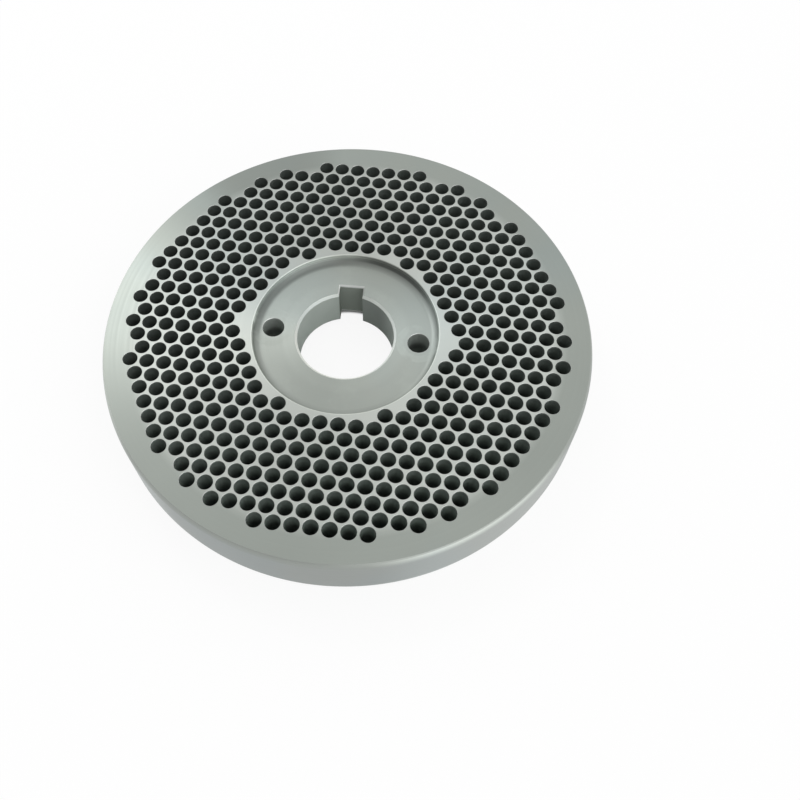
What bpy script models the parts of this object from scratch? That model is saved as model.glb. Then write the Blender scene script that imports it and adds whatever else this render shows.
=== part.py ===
# Flat pellet mill die: one steel disc, turned, keyed and drilled.
# Metres, +Z up. The origin is the centre of the underside, and X runs through
# the two hub holes. Both faces are alike, so the die works either way up.

import math

import bmesh
import bpy
from mathutils import Matrix, Vector

# Disc
OUTER_DIAMETER = 0.200
THICKNESS = 0.026
EDGE_CHAMFER = 0.001

# Round recess about the bore, turned into both faces
RECESS_DIAMETER = 0.0765
RECESS_DEPTH = 0.0035
RECESS_FILLET = 0.003

# Shaft bore
BORE_DIAMETER = 0.040
BORE_CHAMFER = 0.001

# Keyway, cut right through the hub on the far side of the bore
KEYWAY_WIDTH = 0.010
KEYWAY_DEPTH = 0.0045
KEYWAY_ANGLE = math.radians(92)

# Two plain holes through the hub, one on each side of the bore
HUB_HOLE_DIAMETER = 0.009
HUB_HOLE_SPACING = 0.0605

# Pellet holes, drilled straight through on a triangular grid
PELLET_HOLE_DIAMETER = 0.006
PELLET_HOLE_WEB = 0.00106

# Least solid metal between a pellet hole and the recess, the rim and a hub hole
RECESS_LAND = 0.0008
RIM_LAND = 0.008
HUB_HOLE_LAND = 0.005

# Flat facets round each circle
RIM_FACETS = 36
HUB_FACETS = 24
FILLET_FACETS = 2
HUB_HOLE_FACETS = 6
PELLET_HOLE_FACETS = 5

# How far a cutter stands out of the metal
OVERSHOOT = 0.002

# Finish of the bare steel
STEEL_COLOUR = (0.42, 0.44, 0.42, 1.0)
STEEL_ROUGHNESS = 0.38
SHARP_EDGE = math.radians(30)


def clear_scene():
    for obj in list(bpy.data.objects):
        bpy.data.objects.remove(obj)


def new_collection(name):
    collection = bpy.data.collections.new(name)
    bpy.context.scene.collection.children.link(collection)
    return collection


def steel():
    material = bpy.data.materials.new("turned_steel")
    material.use_nodes = True
    shader = material.node_tree.nodes["Principled BSDF"]
    shader.inputs["Base Color"].default_value = STEEL_COLOUR
    shader.inputs["Metallic"].default_value = 1.0
    shader.inputs["Roughness"].default_value = STEEL_ROUGHNESS
    return material


def mesh_object(name, bm, collection):
    mesh = bpy.data.meshes.new(name)
    bm.to_mesh(mesh)
    bm.free()
    obj = bpy.data.objects.new(name, mesh)
    collection.objects.link(obj)
    return obj


def turned(name, profile, facets, collection):
    """Turn a profile of (radius, height) points, listed from top to bottom."""
    mesh = bpy.data.meshes.new(name)
    points = [(radius, 0.0, height) for radius, height in profile]
    edges = [(index, index + 1) for index in range(len(points) - 1)]
    mesh.from_pydata(points, edges, [])
    obj = bpy.data.objects.new(name, mesh)
    collection.objects.link(obj)
    screw = obj.modifiers.new("Turn", "SCREW")
    screw.axis = "Z"
    screw.angle = math.tau
    screw.steps = facets
    screw.render_steps = facets
    screw.use_merge_vertices = True
    screw.merge_threshold = 0.00001
    return obj


def both_faces(top_profile):
    """Add the underside's half of a profile as the mirror image of the top half."""
    underside = [(radius, THICKNESS - height) for radius, height in reversed(top_profile)]
    return top_profile + underside


def disc_blank(collection):
    """A plain disc whose two rims are chamfered."""
    bm = bmesh.new()
    bmesh.ops.create_cone(
        bm,
        cap_ends=True,
        segments=RIM_FACETS,
        radius1=OUTER_DIAMETER / 2,
        radius2=OUTER_DIAMETER / 2,
        depth=THICKNESS,
        matrix=Matrix.Translation((0.0, 0.0, THICKNESS / 2)),
    )
    obj = mesh_object("pellet_die", bm, collection)
    chamfer = obj.modifiers.new("Edge chamfer", "BEVEL")
    chamfer.width = EDGE_CHAMFER
    chamfer.segments = 1
    chamfer.limit_method = "ANGLE"
    chamfer.angle_limit = SHARP_EDGE
    return obj


def recess_fillet_points():
    """Points down the recess wall, from the foot of its straight part to the floor."""
    fillet = min(RECESS_FILLET, RECESS_DEPTH)
    centre_radius = RECESS_DIAMETER / 2 - fillet
    centre_height = THICKNESS - RECESS_DEPTH + fillet
    points = []
    for step in range(FILLET_FACETS + 1):
        angle = math.pi / 2 * step / FILLET_FACETS
        points.append((
            centre_radius + fillet * math.cos(angle),
            centre_height - fillet * math.sin(angle),
        ))
    return points


def hub_cutter(collection):
    """The space of the bore and of both recesses, as one turned shape."""
    above = THICKNESS + OVERSHOOT
    floor = THICKNESS - RECESS_DEPTH
    bore_radius = BORE_DIAMETER / 2
    top_profile = [(0.0, above), (RECESS_DIAMETER / 2, above)]
    top_profile += recess_fillet_points()
    top_profile += [
        (bore_radius + BORE_CHAMFER, floor),
        (bore_radius, floor - BORE_CHAMFER),
    ]
    return turned("hub_cutter", both_faces(top_profile), HUB_FACETS, collection)


def keyway_cutter(collection):
    """A bar from the axis to the bottom of the keyway."""
    reach = BORE_DIAMETER / 2 + KEYWAY_DEPTH
    height = THICKNESS + 2 * OVERSHOOT
    bar = Matrix.Diagonal((reach, KEYWAY_WIDTH, height, 1.0))
    move = Matrix.Translation((reach / 2, 0.0, THICKNESS / 2))
    bm = bmesh.new()
    bmesh.ops.create_cube(bm, size=1.0, matrix=Matrix.Rotation(KEYWAY_ANGLE, 4, "Z") @ move @ bar)
    return mesh_object("keyway_cutter", bm, collection)


def facetted_radius(diameter, facets):
    """Corner radius of a many-sided hole with the area of the round one."""
    return diameter / 2 * math.sqrt(math.tau / (facets * math.sin(math.tau / facets)))


def drill(bm, centre, diameter, facets):
    radius = facetted_radius(diameter, facets)
    quarter_facet = Matrix.Rotation(math.pi / (2 * facets), 4, "Z")
    move = Matrix.Translation((centre.x, centre.y, THICKNESS / 2))
    bmesh.ops.create_cone(
        bm,
        cap_ends=True,
        segments=facets,
        radius1=radius,
        radius2=radius,
        depth=THICKNESS + 2 * OVERSHOOT,
        matrix=move @ quarter_facet,
    )


def hub_hole_centres():
    return [Vector((side * HUB_HOLE_SPACING / 2, 0.0)) for side in (-1, 1)]


def pellet_hole_centres():
    """Points of the triangular grid that leave enough metal all round."""
    pitch = PELLET_HOLE_DIAMETER + PELLET_HOLE_WEB
    row_step = pitch * math.sin(math.radians(60))
    hole_radius = PELLET_HOLE_DIAMETER / 2
    nearest = RECESS_DIAMETER / 2 + RECESS_LAND + hole_radius
    farthest = OUTER_DIAMETER / 2 - RIM_LAND - hole_radius
    from_hub_hole = HUB_HOLE_DIAMETER / 2 + HUB_HOLE_LAND + hole_radius
    rows = math.ceil(farthest / row_step)
    columns = math.ceil(farthest / pitch) + 1
    centres = []
    for row in range(-rows, rows + 1):
        shift = pitch / 2 * (row % 2)
        for column in range(-columns, columns):
            centre = Vector((column * pitch + shift, row * row_step))
            in_ring = nearest <= centre.length <= farthest
            spacings = [(centre - hub_hole).length for hub_hole in hub_hole_centres()]
            if in_ring and min(spacings) >= from_hub_hole:
                centres.append(centre)
    return centres


def hub_hole_cutter(collection):
    bm = bmesh.new()
    for centre in hub_hole_centres():
        drill(bm, centre, HUB_HOLE_DIAMETER, HUB_HOLE_FACETS)
    return mesh_object("hub_hole_cutter", bm, collection)


def pellet_hole_cutter(collection):
    bm = bmesh.new()
    for centre in pellet_hole_centres():
        drill(bm, centre, PELLET_HOLE_DIAMETER, PELLET_HOLE_FACETS)
    return mesh_object("pellet_hole_cutter", bm, collection)


def cut(obj, cutter):
    cutter.hide_render = True
    cutter.display_type = "WIRE"
    boolean = obj.modifiers.new(cutter.name, "BOOLEAN")
    boolean.operation = "DIFFERENCE"
    boolean.solver = "EXACT"
    boolean.object = cutter


def make_mesh_real(obj):
    """Keep the cut shape as the object's own mesh, smooth round its circles."""
    bpy.context.view_layer.update()
    evaluated = obj.evaluated_get(bpy.context.evaluated_depsgraph_get())
    mesh = bpy.data.meshes.new_from_object(evaluated)
    obj.modifiers.clear()
    obj.data = mesh
    mesh.shade_smooth()
    mesh.set_sharp_from_angle(angle=SHARP_EDGE)


def build():
    clear_scene()
    parts = new_collection("pellet_mill_die")
    cutters = new_collection("cutters")
    die = disc_blank(parts)
    cut(die, hub_cutter(cutters))
    cut(die, keyway_cutter(cutters))
    cut(die, hub_hole_cutter(cutters))
    cut(die, pellet_hole_cutter(cutters))
    make_mesh_real(die)
    die.data.materials.clear()
    die.data.materials.append(steel())


build()
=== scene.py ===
import math

import bmesh
import bpy
from mathutils import Matrix, Vector
from mathutils.geometry import delaunay_2d_cdt


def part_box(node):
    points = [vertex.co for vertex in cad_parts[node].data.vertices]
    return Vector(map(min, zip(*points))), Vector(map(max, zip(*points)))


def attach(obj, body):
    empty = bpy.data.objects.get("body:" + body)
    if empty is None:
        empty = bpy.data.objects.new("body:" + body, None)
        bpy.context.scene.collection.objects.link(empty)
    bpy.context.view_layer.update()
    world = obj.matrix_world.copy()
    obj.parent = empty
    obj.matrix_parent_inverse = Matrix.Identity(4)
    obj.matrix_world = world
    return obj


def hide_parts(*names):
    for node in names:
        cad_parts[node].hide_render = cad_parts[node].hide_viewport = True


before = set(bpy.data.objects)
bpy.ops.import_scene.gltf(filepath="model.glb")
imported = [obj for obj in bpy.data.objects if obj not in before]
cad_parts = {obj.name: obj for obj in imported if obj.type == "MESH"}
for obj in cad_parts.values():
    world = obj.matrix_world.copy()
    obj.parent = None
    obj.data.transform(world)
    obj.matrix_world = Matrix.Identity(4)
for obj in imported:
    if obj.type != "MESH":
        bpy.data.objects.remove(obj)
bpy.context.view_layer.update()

# Flat pellet die: a turned steel disc with a ring of drilled holes and a keyed hub.
# Metres, +Z up, the underside on the floor. Both faces are alike.

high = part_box("pellet_die")[1]
blank = dict(radius=high[0], thick=high[2], around=288)
rim = dict(round=0.0058, slope=math.radians(36), steps=10)
recess = dict(radius=0.03825, deep=0.0035, fillet=0.003, steps=12,
              edge=0.0004, edgeSteps=3, around=240)
bore = dict(radius=0.020, chamfer=0.001, around=192)
keyway = dict(half=0.005, back=0.0245, chamfer=0.0005, turn=math.radians(92))
hubHole = dict(radius=0.0045, off=0.03025, mouth=0.0001, around=72)
pelletHole = dict(radius=0.00308, web=0.0009, mouth=0.00006, around=40,
                  recessLand=0.00072, rimLand=0.00792, hubHoleLand=0.00492)

# which finish a face gets, in the order of the material slots
turnedFace, boredFace, drilledFace, edgeFace = range(4)

# the mesh as it grows, with one finish for each face
points, faces, finishes = [], [], []


def ring(outline, height):
    # adds one closed loop of points and gives back their numbers
    first = len(points)
    points.extend((x, y, height) for x, y in outline)
    return list(range(first, len(points)))


def circle(radius, around, centre=(0.0, 0.0)):
    turns = [math.tau * step / around for step in range(around)]
    return [(centre[0] + radius * math.cos(a), centre[1] + radius * math.sin(a)) for a in turns]


def band(upper, lower, finish):
    # joins two loops of the same length with a strip of quads
    for here in range(len(upper)):
        there = (here + 1) % len(upper)
        faces.append((upper[here], lower[here], lower[there], upper[there]))
        finishes.append(finish)


def insideLoop(x, y, loop):
    # counts the loop's edges on one side of the point: an odd number means inside
    inside = False
    for here in range(len(loop)):
        x1, y1 = points[loop[here]][:2]
        x2, y2 = points[loop[here - 1]][:2]
        if (y1 > y) != (y2 > y) and x < (x2 - x1) * (y - y1) / (y2 - y1) + x1:
            inside = not inside
    return inside


def plate(outer, openings, finish):
    # fills the flat metal between an outer loop and the openings in it
    closest = 1e-9     # points nearer than this count as one
    loops = [outer] + openings
    numbers = [number for loop in loops for number in loop]
    owner = [which for which, loop in enumerate(loops) for number in loop]
    corners = [Vector(points[number][:2]) for number in numbers]
    edges, start = [], 0
    for loop in loops:
        edges += [(start + i, start + (i + 1) % len(loop)) for i in range(len(loop))]
        start += len(loop)
    triangles, origins = delaunay_2d_cdt(corners, edges, [], 0, closest)[2:4]
    kept = []
    for triangle in triangles:
        mine = [origins[corner][0] for corner in triangle]
        owners = {owner[corner] for corner in mine}
        if len(owners) == 1 and 0 not in owners:
            x = sum(corners[corner].x for corner in mine) / 3
            y = sum(corners[corner].y for corner in mine) / 3
            if insideLoop(x, y, loops[owners.pop()]):
                continue
        kept.append([numbers[corner] for corner in mine])
    faces.extend(kept)
    finishes.extend([finish] * len(kept))


def pelletHoleCentres():
    # a triangular grid, kept clear of the rim, the recess and the hub holes
    pitch = 2 * pelletHole["radius"] + pelletHole["web"]
    row = pitch * math.sin(math.radians(60))
    nearest = recess["radius"] + pelletHole["recessLand"] + pelletHole["radius"]
    farthest = blank["radius"] - pelletHole["rimLand"] - pelletHole["radius"]
    clear = hubHole["radius"] + pelletHole["hubHoleLand"] + pelletHole["radius"]
    rows = math.ceil(farthest / row)
    columns = math.ceil(farthest / pitch) + 1
    centres = []
    for j in range(-rows, rows + 1):
        for i in range(-columns, columns):
            x, y = i * pitch + pitch / 2 * (j % 2), j * row
            apart = min(math.hypot(x - hubHole["off"], y), math.hypot(x + hubHole["off"], y))
            if nearest <= math.hypot(x, y) <= farthest and apart >= clear:
                centres.append((x, y))
    return centres


def keyedOutline(depth):
    # bore and keyway as one loop, this far below the hub floor
    radius = bore["radius"] + max(0.0, bore["chamfer"] - depth)
    spread = max(0.0, keyway["chamfer"] - depth)
    half, back = keyway["half"] + spread, keyway["back"] + spread
    corner = math.asin(half / radius)
    outline = []
    for step in range(bore["around"] + 1):
        angle = corner + (math.tau - 2 * corner) * step / bore["around"]
        outline.append((radius * math.cos(angle), radius * math.sin(angle)))
    outline += [(back, -half), (back, half)]
    c, s = math.cos(keyway["turn"]), math.sin(keyway["turn"])
    return [(c * x - s * y, s * x + c * y) for x, y in outline]


def roundHole(centre, size, top, bottom):
    # a drilled hole with a small broken edge at both mouths
    mouth = circle(size["radius"] + size["mouth"], size["around"], centre)
    wall = circle(size["radius"], size["around"], centre)
    upper, under = ring(mouth, top), ring(mouth, bottom)
    wallTop, wallFoot = ring(wall, top - size["mouth"]), ring(wall, bottom + size["mouth"])
    band(upper, wallTop, edgeFace)
    band(wallTop, wallFoot, drilledFace)
    band(wallFoot, under, edgeFace)
    return upper, under


def recessProfile():
    # radius and depth down the recess wall, from the face to the hub floor
    r, edge, fillet = recess["radius"], recess["edge"], recess["fillet"]
    profile = []
    for step in range(recess["edgeSteps"] + 1):
        angle = math.pi / 2 * step / recess["edgeSteps"]
        profile.append((r + edge - edge * math.sin(angle), edge - edge * math.cos(angle)))
    for step in range(recess["steps"] + 1):
        angle = math.pi / 2 * step / recess["steps"]
        profile.append((r - fillet + fillet * math.cos(angle),
                        recess["deep"] - fillet + fillet * math.sin(angle)))
    return profile


def rimProfile():
    # radius and depth over the rim: it leaves the face at a slope and rounds into the wall
    profile = []
    for step in range(rim["steps"] + 1):
        angle = rim["slope"] * (1 - step / rim["steps"])
        profile.append((blank["radius"] - rim["round"] * (1 - math.cos(angle)),
                        rim["round"] * (math.sin(rim["slope"]) - math.sin(angle))))
    return profile


def makeDie():
    thick = blank["thick"]
    topRim = [ring(circle(r, blank["around"]), thick - d) for r, d in rimProfile()]
    footRim = [ring(circle(r, blank["around"]), d) for r, d in rimProfile()]
    for level in range(rim["steps"]):
        band(topRim[level], topRim[level + 1], turnedFace)
        band(footRim[level], footRim[level + 1], turnedFace)
    band(topRim[-1], footRim[-1], turnedFace)

    topMouths, footMouths = [], []
    for centre in pelletHoleCentres():
        upper, under = roundHole(centre, pelletHole, thick, 0.0)
        topMouths.append(upper)
        footMouths.append(under)
    print("pellet holes:", len(topMouths))

    hubTop, hubFoot = thick - recess["deep"], recess["deep"]
    topHubHoles, footHubHoles = [], []
    for hand in (-1, 1):
        upper, under = roundHole((hand * hubHole["off"], 0.0), hubHole, hubTop, hubFoot)
        topHubHoles.append(upper)
        footHubHoles.append(under)

    depths = [0.0, keyway["chamfer"], bore["chamfer"]]
    topKeyed = [ring(keyedOutline(d), hubTop - d) for d in depths]
    footKeyed = [ring(keyedOutline(d), hubFoot + d) for d in depths]
    for keyed in (topKeyed, footKeyed):
        for upper, lower in zip(keyed, keyed[1:]):
            band(upper, lower, turnedFace)
            finishes[-3:] = [edgeFace] * 3     # the keyway's own three sides
    band(topKeyed[-1], footKeyed[-1], boredFace)

    topWall = [ring(circle(r, recess["around"]), thick - d) for r, d in recessProfile()]
    footWall = [ring(circle(r, recess["around"]), d) for r, d in recessProfile()]
    for wall in (topWall, footWall):
        for upper, lower in zip(wall, wall[1:]):
            band(upper, lower, turnedFace)

    plate(topRim[0], [topWall[0]] + topMouths, turnedFace)
    plate(footRim[0], [footWall[0]] + footMouths, turnedFace)
    plate(topWall[-1], [topKeyed[0]] + topHubHoles, turnedFace)
    plate(footWall[-1], [footKeyed[0]] + footHubHoles, turnedFace)

    mesh = bpy.data.meshes.new("drilled_die")
    mesh.from_pydata(points, [], faces)
    for polygon, finish in zip(mesh.polygons, finishes):
        polygon.material_index = finish
    mesh.validate()
    piece = bpy.data.objects.new("drilled_die", mesh)
    bpy.context.scene.collection.objects.link(piece)
    return piece


def smoothOutward(piece):
    # faces look outward, round stretches shade smooth and flat faces stay flat
    sharpFrom = math.radians(30)
    work = bmesh.new()
    work.from_mesh(piece.data)
    bmesh.ops.recalc_face_normals(work, faces=work.faces)
    loose = [edge for edge in work.edges if not edge.is_manifold]
    work.to_mesh(piece.data)
    work.free()
    piece.data.shade_smooth()
    piece.data.set_sharp_from_angle(angle=sharpFrom)
    even = piece.modifiers.new("Flat faces stay flat", "WEIGHTED_NORMAL")
    even.keep_sharp = True
    print("die faces:", len(piece.data.polygons), "open edges:", len(loose))


die = makeDie()
smoothOutward(die)


class Wire:
    # one value in a material's node tree, so that shader maths reads as sums
    def __init__(self, tree, socket=None):
        self.tree, self.socket = tree, socket

    def node(self, kind, settings=None, inputs=None, output=0):
        made = self.tree.nodes.new(kind)
        for name, value in (settings or {}).items():
            setattr(made, name, value)
        connect(made, inputs or {})
        return Wire(self.tree, made.outputs[output])

    def other(self, name):
        # another output of the same node
        return Wire(self.tree, self.socket.node.outputs[name])

    def maths(self, operation, *values):
        return self.node("ShaderNodeMath", {"operation": operation}, dict(enumerate(values)))

    def __add__(self, other):
        return self.maths("ADD", self, other)

    def __radd__(self, other):
        return self.maths("ADD", other, self)

    def __sub__(self, other):
        return self.maths("SUBTRACT", self, other)

    def __rsub__(self, other):
        return self.maths("SUBTRACT", other, self)

    def __mul__(self, other):
        return self.maths("MULTIPLY", self, other)

    def __rmul__(self, other):
        return self.maths("MULTIPLY", other, self)

    def __truediv__(self, other):
        return self.maths("DIVIDE", self, other)

    def __rtruediv__(self, other):
        return self.maths("DIVIDE", other, self)

    def __pow__(self, other):
        return self.maths("POWER", self, other)

    def __rpow__(self, other):
        return self.maths("POWER", other, self)

    def __gt__(self, other):
        return self.maths("GREATER_THAN", self, other)

    def __lt__(self, other):
        return self.maths("LESS_THAN", self, other)

    def __abs__(self):
        return self.maths("ABSOLUTE", self)

    def smooth(self, start, end):
        # 0 at start, 1 at end, soft between
        settings = {"interpolation_type": "SMOOTHSTEP"}
        return self.node("ShaderNodeMapRange", settings,
                         {"Value": self, "From Min": start, "From Max": end})

    def between(self, start, full, last, end):
        # 0 at start, 1 from full to last, 0 again at end
        return self.smooth(start, full) * (1 - self.smooth(last, end))

    def noise(self, place, scale, detail=2.0, roughness=0.5):
        inputs = {"Vector": place, "Scale": scale, "Detail": detail, "Roughness": roughness}
        return self.node("ShaderNodeTexNoise", None, inputs)

    def rings(self, track, scale, detail=1.0):
        # fine bands along one measure, as a cutting edge leaves them
        inputs = {"W": track, "Scale": scale, "Detail": detail}
        return self.node("ShaderNodeTexNoise", {"noise_dimensions": "1D"}, inputs)

    def blend(self, factor, first, second, kind="MIX"):
        # mixes two colours
        return self.node("ShaderNodeMix", {"data_type": "RGBA", "blend_type": kind},
                         {0: factor, 6: first, 7: second}, output=2)

    def scaled(self, factor):
        # this colour, so many times as bright
        return self.node("ShaderNodeVectorMath", {"operation": "SCALE"},
                         {0: self, "Scale": factor})

    def bump(self, height, distance):
        return self.node("ShaderNodeBump", None,
                         {"Height": height, "Distance": distance, "Strength": 1.0})


def connect(node, inputs):
    # each socket gets a link from a wire, or a plain value
    for name, value in inputs.items():
        if isinstance(value, Wire):
            value.tree.links.new(value.socket, node.inputs[name])
        else:
            node.inputs[name].default_value = value


def newMaterial(name):
    material = bpy.data.materials.new(name)
    material.use_nodes = True
    tree = material.node_tree
    return material, Wire(tree), tree.nodes["Principled BSDF"]


def bodyPlace(wire):
    # object coordinates in metres, with the distance from the bore's axis
    place = wire.node("ShaderNodeTexCoord", output="Object")
    x = wire.node("ShaderNodeSeparateXYZ", None, {"Vector": place})
    y, z = x.other("Y"), x.other("Z")
    return place, x, y, z, (x * x + y * y) ** 0.5


def depthBelow(z):
    # how far a point lies below the nearer of the two faces
    middle = 0.5 * blank["thick"]
    return middle - abs(z - middle)


def side(x, y, radius, turn, reach):
    # 1 on the side of the die at this turn, down to 0 where the reach ends, in degrees
    fullShare = 0.3
    turn, reach = math.radians(turn), math.radians(reach)
    along = (x * math.cos(turn) + y * math.sin(turn)) / radius
    return along.smooth(math.cos(reach), math.cos(fullShare * reach))


def turnedSteel():
    finish = dict(margin=(0.278, 0.305, 0.289, 1), track=(0.455, 0.487, 0.469, 1),
                  hub=(0.325, 0.354, 0.336, 1), rim=(0.37, 0.40, 0.385, 1),
                  wall=(0.304, 0.329, 0.323, 1), recessEdge=(0.57, 0.61, 0.58, 1),
                  boreEdge=(0.74, 0.77, 0.75, 1), cool=(0.985, 1.0, 1.0, 1),
                  warm=(1.015, 1.0, 0.972, 1), shade=0.90)
    rough = dict(margin=0.34, track=0.44, rim=0.40, boreEdge=0.60,
                 clouds=0.10, broad=0.08, marks=0.5)
    tool = dict(cut=0.0000035, fine=4200.0, broad=700.0, broadShare=0.6)
    # how fine each kind of soft patch is, and how much of it shows
    patch = dict(clouds=28.0, rub=160.0, smears=62.0, stain=17.0)
    shows = dict(rub=(0.44, 0.62), smears=(0.50, 0.72), stain=(0.35, 0.65))
    # how much each patch, mark or ring brightens the metal, or darkens it; the corner gain is painted
    # shade in the recess's fillet, and the ring round the bore a painted sheen
    gain = dict(clouds=0.12, broad=0.05, fine=0.04, rub=0.24, smears=0.10, corner=-0.14, boreSheen=0.05)
    rub = dict(near=0.0064, far=0.0088, soft=0.0007)     # pale ring round a hub hole
    # distances from the bore's axis at which the finish changes, and where painted light and shade
    # begin and end
    zone = dict(boreEdge=bore["radius"] + 0.00098,
                boreSheen=[bore["radius"] + out for out in (0.0008, 0.0010, 0.0045, 0.0080)],
                corner=[recess["radius"] - back for back in (0.00405, 0.00205, 0.00065, 0.00025)],
                steep=[recess["radius"] - back for back in (0.00125, 0.00085)],
                hub=recess["radius"] - 0.00015,
                recessEdge=recess["radius"] + 0.00045,
                trackEnd=[blank["radius"] - back for back in (0.0180, 0.0095)],
                rim=rimProfile()[0][0] - 0.00001,
                brow=[blank["radius"] - back for back in (0.0009, 0.0006)],
                wall=blank["radius"] - 0.0006)
    # depths below the face over which the painted highlight on the rim's steeper brow fades out and
    # the wall comes in
    depth = dict(brow=(0.0005, 0.0045), wall=(0.0, 0.0045))
    # painted light and shade: lighter and darker sides of the die for each zone, with turn and reach
    # in degrees, and the gain
    paintedSides = dict(corner=[(140, 60, -0.34), (70, 40, -0.10), (-15, 50, 0.17)],
                  shadeCrescent=[(60, 34, -0.48)],
                  track=[(135, 70, -0.15)],
                  margin=[(120, 22, -0.20), (275, 60, 0.08)],
                  rim=[(-168, 32, 0.40)],
                  brow=[(-50, 28, 0.64)],
                  wall=[(-143, 22, 0.30), (-48, 28, 0.20)])
    warmSide = dict(turn=235, reach=80)

    material, wire, shader = newMaterial("turned_steel_face")
    place, x, y, z, radius = bodyPlace(wire)
    deep = depthBelow(z)
    track = radius + z
    clouds = wire.noise(place, patch["clouds"], detail=3.0)
    fine = wire.rings(track, tool["fine"])
    broad = wire.rings(track, tool["broad"], detail=2.0)

    # one mask for each zone
    rolled = 1 - radius.smooth(*zone["trackEnd"])      # the ring that the rollers run on
    onHub = radius < zone["recessEdge"]
    onBoreEdge = radius < zone["boreEdge"]
    onRim = radius > zone["rim"]
    onWall = (radius > zone["wall"]) * deep.smooth(*depth["wall"])
    browHighlight = radius.smooth(*zone["brow"]) * (1 - deep.smooth(*depth["brow"]))
    # painted shade in the fillet where the recess wall meets the hub floor
    corner = radius.between(*zone["corner"])
    # painted sheen: a lighter ring on the hub floor round the bore
    boreSheen = radius.between(*zone["boreSheen"])
    # where each zone's painted highlights and painted shade fall
    parts = dict(corner=corner, shadeCrescent=radius.smooth(*zone["steep"]) * onHub,
                 track=rolled * (1 - onHub), margin=(1 - rolled) * (1 - onRim),
                 rim=onRim * (1 - onWall), brow=browHighlight, wall=onWall)

    colour = wire.blend(rolled, finish["margin"], finish["track"])
    colour = wire.blend(onHub, colour, finish["recessEdge"])
    colour = wire.blend(radius < zone["hub"], colour, finish["hub"])
    colour = wire.blend(onBoreEdge, colour, finish["boreEdge"])
    colour = wire.blend(onRim, colour, finish["rim"])
    colour = wire.blend(onWall, colour, finish["wall"])

    # pale rub marks round the hub holes, broken up, and a few soft smears on the hub
    fromHole = ((abs(x) - hubHole["off"]) ** 2 + y * y) ** 0.5
    rubbed = fromHole.between(rub["near"] - rub["soft"], rub["near"],
                              rub["far"], rub["far"] + rub["soft"])
    rubbed = rubbed * wire.noise(place, patch["rub"], detail=3.0).smooth(*shows["rub"])
    smears = wire.noise(place, patch["smears"], detail=4.0, roughness=0.6)
    smears = smears.smooth(*shows["smears"])
    marks = onHub * (gain["rub"] * rubbed + gain["smears"] * smears)

    tone = finish["shade"] + gain["clouds"] * clouds + gain["broad"] * broad
    tone = tone + gain["fine"] * fine + marks
    tone = tone * (1 + gain["corner"] * corner + gain["boreSheen"] * boreSheen)
    # painted light and shade, lighter or darker on chosen sides of each zone
    for part, where in parts.items():
        for turn, reach, more in paintedSides[part]:
            tone = tone * (1 + more * where * side(x, y, radius, turn, reach))
    stain = wire.noise(place, patch["stain"]).smooth(*shows["stain"])
    # random stains, and besides them a warmer tint over the near-left side of the die
    stain = stain + side(x, y, radius, **warmSide) * (1 - onWall)
    tint = wire.blend(stain, finish["cool"], finish["warm"])
    colour = wire.blend(1.0, colour.scaled(tone), tint, "MULTIPLY")

    roughness = rough["margin"] + (rough["track"] - rough["margin"]) * rolled
    roughness = roughness + (rough["rim"] - rough["margin"]) * onRim * (1 - onWall)
    roughness = roughness + (rough["boreEdge"] - rough["margin"]) * onBoreEdge
    roughness = roughness + rough["clouds"] * (clouds - 0.5) + rough["broad"] * (broad - 0.5)
    roughness = roughness + rough["marks"] * marks
    connect(shader, {"Base Color": colour, "Roughness": roughness, "Metallic": 1.0,
                     "Normal": wire.bump(fine + tool["broadShare"] * broad, tool["cut"]),
                     "Anisotropic": 0.7, "Anisotropic Rotation": 0.25})
    return material


def boredSteel():
    finish = dict(light=(0.42, 0.46, 0.43, 1), dark=(0.31, 0.345, 0.32, 1),
                  keyed=(0.275, 0.305, 0.272, 1), roughness=0.62, cloudy=0.1, metal=0.45)
    tool = dict(feed=2500.0, cut=0.000004)
    cloudScale = 60.0
    keyed = dict(radius=bore["radius"] + 0.0002, y=0.015)     # the keyway lies beyond both
    # painted light and shade: lighter and darker sides of the bore, with turn and reach in degrees,
    # and the gain
    paintedSides = [(140, 55, 0.30), (70, 40, -0.30)]

    material, wire, shader = newMaterial("bored_steel")
    place, x, y, z, radius = bodyPlace(wire)
    clouds = wire.noise(place, cloudScale, detail=3.0)
    colour = wire.blend(clouds, finish["dark"], finish["light"])
    inKeyway = (radius > keyed["radius"]) * (y > keyed["y"])
    colour = wire.blend(inKeyway, colour, finish["keyed"])
    level = 1 + sum(more * side(x, y, radius, turn, reach) for turn, reach, more in paintedSides)
    level = level + inKeyway * (1 - level)
    connect(shader, {"Base Color": colour.scaled(level), "Metallic": finish["metal"],
                     "Roughness": finish["roughness"] + finish["cloudy"] * (clouds - 0.5),
                     "Normal": wire.bump(wire.rings(z, tool["feed"]), tool["cut"])})
    return material


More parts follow.
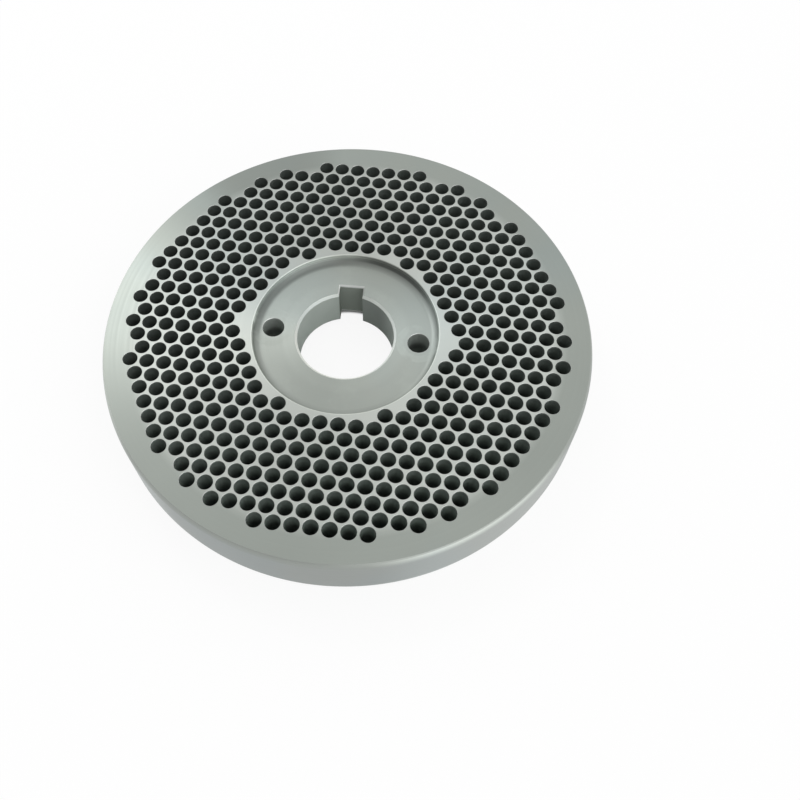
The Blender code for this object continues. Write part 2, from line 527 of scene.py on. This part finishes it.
def drilledSteel():
    finish = dict(light=(0.27, 0.31, 0.285, 1), dark=(0.13, 0.155, 0.14, 1),
                  hub=(0.30, 0.328, 0.306, 1), roughness=0.55, cloudy=0.15, metal=0.2)
    tool = dict(feed=2200.0, cut=0.000006)
    cloudScale = 180.0
    # painted light and shade down a hole: from its mouth the brightness rises, and deeper down it
    # falls as painted shade
    pelletHoleLight = dict(mouth=0.75, rise=0.45, lit=(0.0015, 0.0045), fall=0.45, shadowed=(0.0065, 0.0105))
    hubHoleLight = dict(mouth=1.0, rise=0.25, lit=(0.005, 0.009), fall=0.62, shadowed=(0.0092, 0.0126))
    # pellet holes are darker toward the back and the left of the die
    across = dict(middle=0.72, right=1.7, front=0.68, frontFrom=-0.01, frontTo=0.09)

    material, wire, shader = newMaterial("drilled_steel")
    place, x, y, z, radius = bodyPlace(wire)
    deep = depthBelow(z)
    clouds = wire.noise(place, cloudScale, detail=3.0)
    inHub = radius < recess["radius"] - 0.00125
    colour = wire.blend(clouds, finish["dark"], finish["light"])
    colour = wire.blend(inHub, colour, finish["hub"])

    def downHole(holeLight):
        lit = holeLight["mouth"] + holeLight["rise"] * deep.smooth(*holeLight["lit"])
        return lit - holeLight["fall"] * deep.smooth(*holeLight["shadowed"])

    front = (0 - y).smooth(across["frontFrom"], across["frontTo"])
    paintedHoleLight = downHole(pelletHoleLight) * (across["middle"] + across["right"] * x + across["front"] * front)
    paintedHoleLight = paintedHoleLight + inHub * (downHole(hubHoleLight) - paintedHoleLight)
    connect(shader, {"Base Color": colour.scaled(paintedHoleLight), "Metallic": finish["metal"],
                     "Roughness": finish["roughness"] + finish["cloudy"] * (clouds - 0.5),
                     "Normal": wire.bump(wire.rings(z, tool["feed"]), tool["cut"])})
    return material


def brokenEdgeSteel():
    finish = dict(light=(0.80, 0.82, 0.80, 1), dark=(0.62, 0.64, 0.62, 1),
                  roughness=0.34, cloudy=0.1)
    cloudScale = 120.0
    material, wire, shader = newMaterial("broken_edge_steel")
    place = bodyPlace(wire)[0]
    clouds = wire.noise(place, cloudScale, detail=3.0)
    connect(shader, {"Base Color": wire.blend(clouds, finish["dark"], finish["light"]),
                     "Roughness": finish["roughness"] + finish["cloudy"] * (clouds - 0.5),
                     "Metallic": 1.0})
    return material


for material in (turnedSteel(), boredSteel(), drilledSteel(), brokenEdgeSteel()):
    die.data.materials.append(material)
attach(die, "root")
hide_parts("pellet_die")
print("die finished")


def makeFloor():
    size = dict(half=6.0, drop=0.0001)
    look = dict(colour=(0.9, 0.9, 0.9, 1), glow=(1, 1, 1, 1), strength=1.0, share=0.9,
                roughness=0.7, specular=0.2)
    # the floor glows outside the die and inside its bore, and not under the metal
    zone = dict(outside=(blank["radius"] - 0.006, blank["radius"]),
                inBore=(bore["radius"] + 0.0055, bore["radius"] + 0.007))
    mesh = bpy.data.meshes.new("studio_floor")
    half, z = size["half"], -size["drop"]
    corners = [(-half, -half, z), (half, -half, z), (half, half, z), (-half, half, z)]
    mesh.from_pydata(corners, [], [(0, 1, 2, 3)])
    floor = bpy.data.objects.new("studio_floor", mesh)
    bpy.context.scene.collection.objects.link(floor)

    material, wire, shader = newMaterial("studio_floor")
    radius = bodyPlace(wire)[-1]
    outside = radius.smooth(*zone["outside"])
    inBore = 1 - radius.smooth(*zone["inBore"])
    ray = wire.node("ShaderNodeLightPath", output="Is Camera Ray")
    mirrored = ray.other("Is Glossy Ray") + ray.other("Is Transmission Ray")
    seen = ray * (outside + inBore) + mirrored * outside
    connect(shader, {"Base Color": look["colour"], "Roughness": look["roughness"],
                     "Specular IOR Level": look["specular"]})
    glow = wire.node("ShaderNodeEmission", None, {"Color": look["glow"], "Strength": look["strength"]})
    surface = wire.node("ShaderNodeMixShader", None, {
        0: seen * look["share"], 1: Wire(wire.tree, shader.outputs[0]), 2: glow})
    connect(wire.tree.nodes["Material Output"], {"Surface": surface})
    mesh.materials.append(material)


def direction(turn, lift):
    # one metre that way, from angles in degrees
    turn, lift = math.radians(turn), math.radians(lift)
    level = math.cos(lift)
    return Vector((level * math.cos(turn), level * math.sin(turn), math.sin(lift)))


def makeWorld():
    # soft surroundings: brighter to the right and behind, dimmer to the near left
    air = dict(colour=(1, 1, 1, 1), plain=0.41)
    windows = [dict(turn=22, lift=24, spread=117, gain=0.66),
               dict(turn=-45, lift=18, spread=47, gain=1.16),
               dict(turn=136, lift=23, spread=66, gain=0.63)]
    world = bpy.data.worlds.new("studio_air")
    bpy.context.scene.world = world
    world.use_nodes = True
    wire = Wire(world.node_tree)
    outward = wire.node("ShaderNodeTexCoord", output="Generated")
    strength = air["plain"]
    for window in windows:
        facing = wire.node("ShaderNodeVectorMath", {"operation": "DOT_PRODUCT"},
                           {0: outward, 1: direction(window["turn"], window["lift"])}, output="Value")
        edge = math.cos(math.radians(window["spread"]))
        strength = strength + window["gain"] * facing.smooth(edge, 1.0)
    connect(world.node_tree.nodes["Background"], {"Color": air["colour"], "Strength": strength})


def makeLamp():
    lamp = dict(name="back_window", turn=130, lift=51, size=0.15, power=0.73)
    light = bpy.data.lights.new(lamp["name"], "AREA")
    light.size = lamp["size"]
    light.energy = lamp["power"]
    piece = bpy.data.objects.new(lamp["name"], light)
    piece.location = direction(lamp["turn"], lamp["lift"])
    aim = Vector((0.0, 0.0, 0.5 * blank["thick"])) - piece.location
    piece.rotation_euler = aim.to_track_quat("-Z", "Y").to_euler()
    bpy.context.scene.collection.objects.link(piece)


def makeCamera():
    view = dict(place=(0.039008, -0.194944, 0.336236), aim=(0.002793, -0.032147, 0.026),
                roll=math.radians(-4.4034), lens=40.429, sensor=36.0, shift=0.075, near=0.01)
    data = bpy.data.cameras.new("camera")
    data.sensor_width = view["sensor"]
    data.lens = view["lens"]
    data.shift_x = view["shift"]
    data.clip_start = view["near"]
    camera = bpy.data.objects.new("camera", data)
    aim = Vector(view["aim"]) - Vector(view["place"])
    turn = aim.to_track_quat("-Z", "Y").to_matrix().to_4x4()
    roll = Matrix.Rotation(view["roll"], 4, "Z")
    camera.matrix_world = Matrix.Translation(view["place"]) @ turn @ roll
    bpy.context.scene.collection.objects.link(camera)
    bpy.context.scene.camera = camera


makeFloor()
makeWorld()
makeLamp()
makeCamera()
bpy.context.scene.view_settings.view_transform = "Standard"
print("floor, light and camera placed")
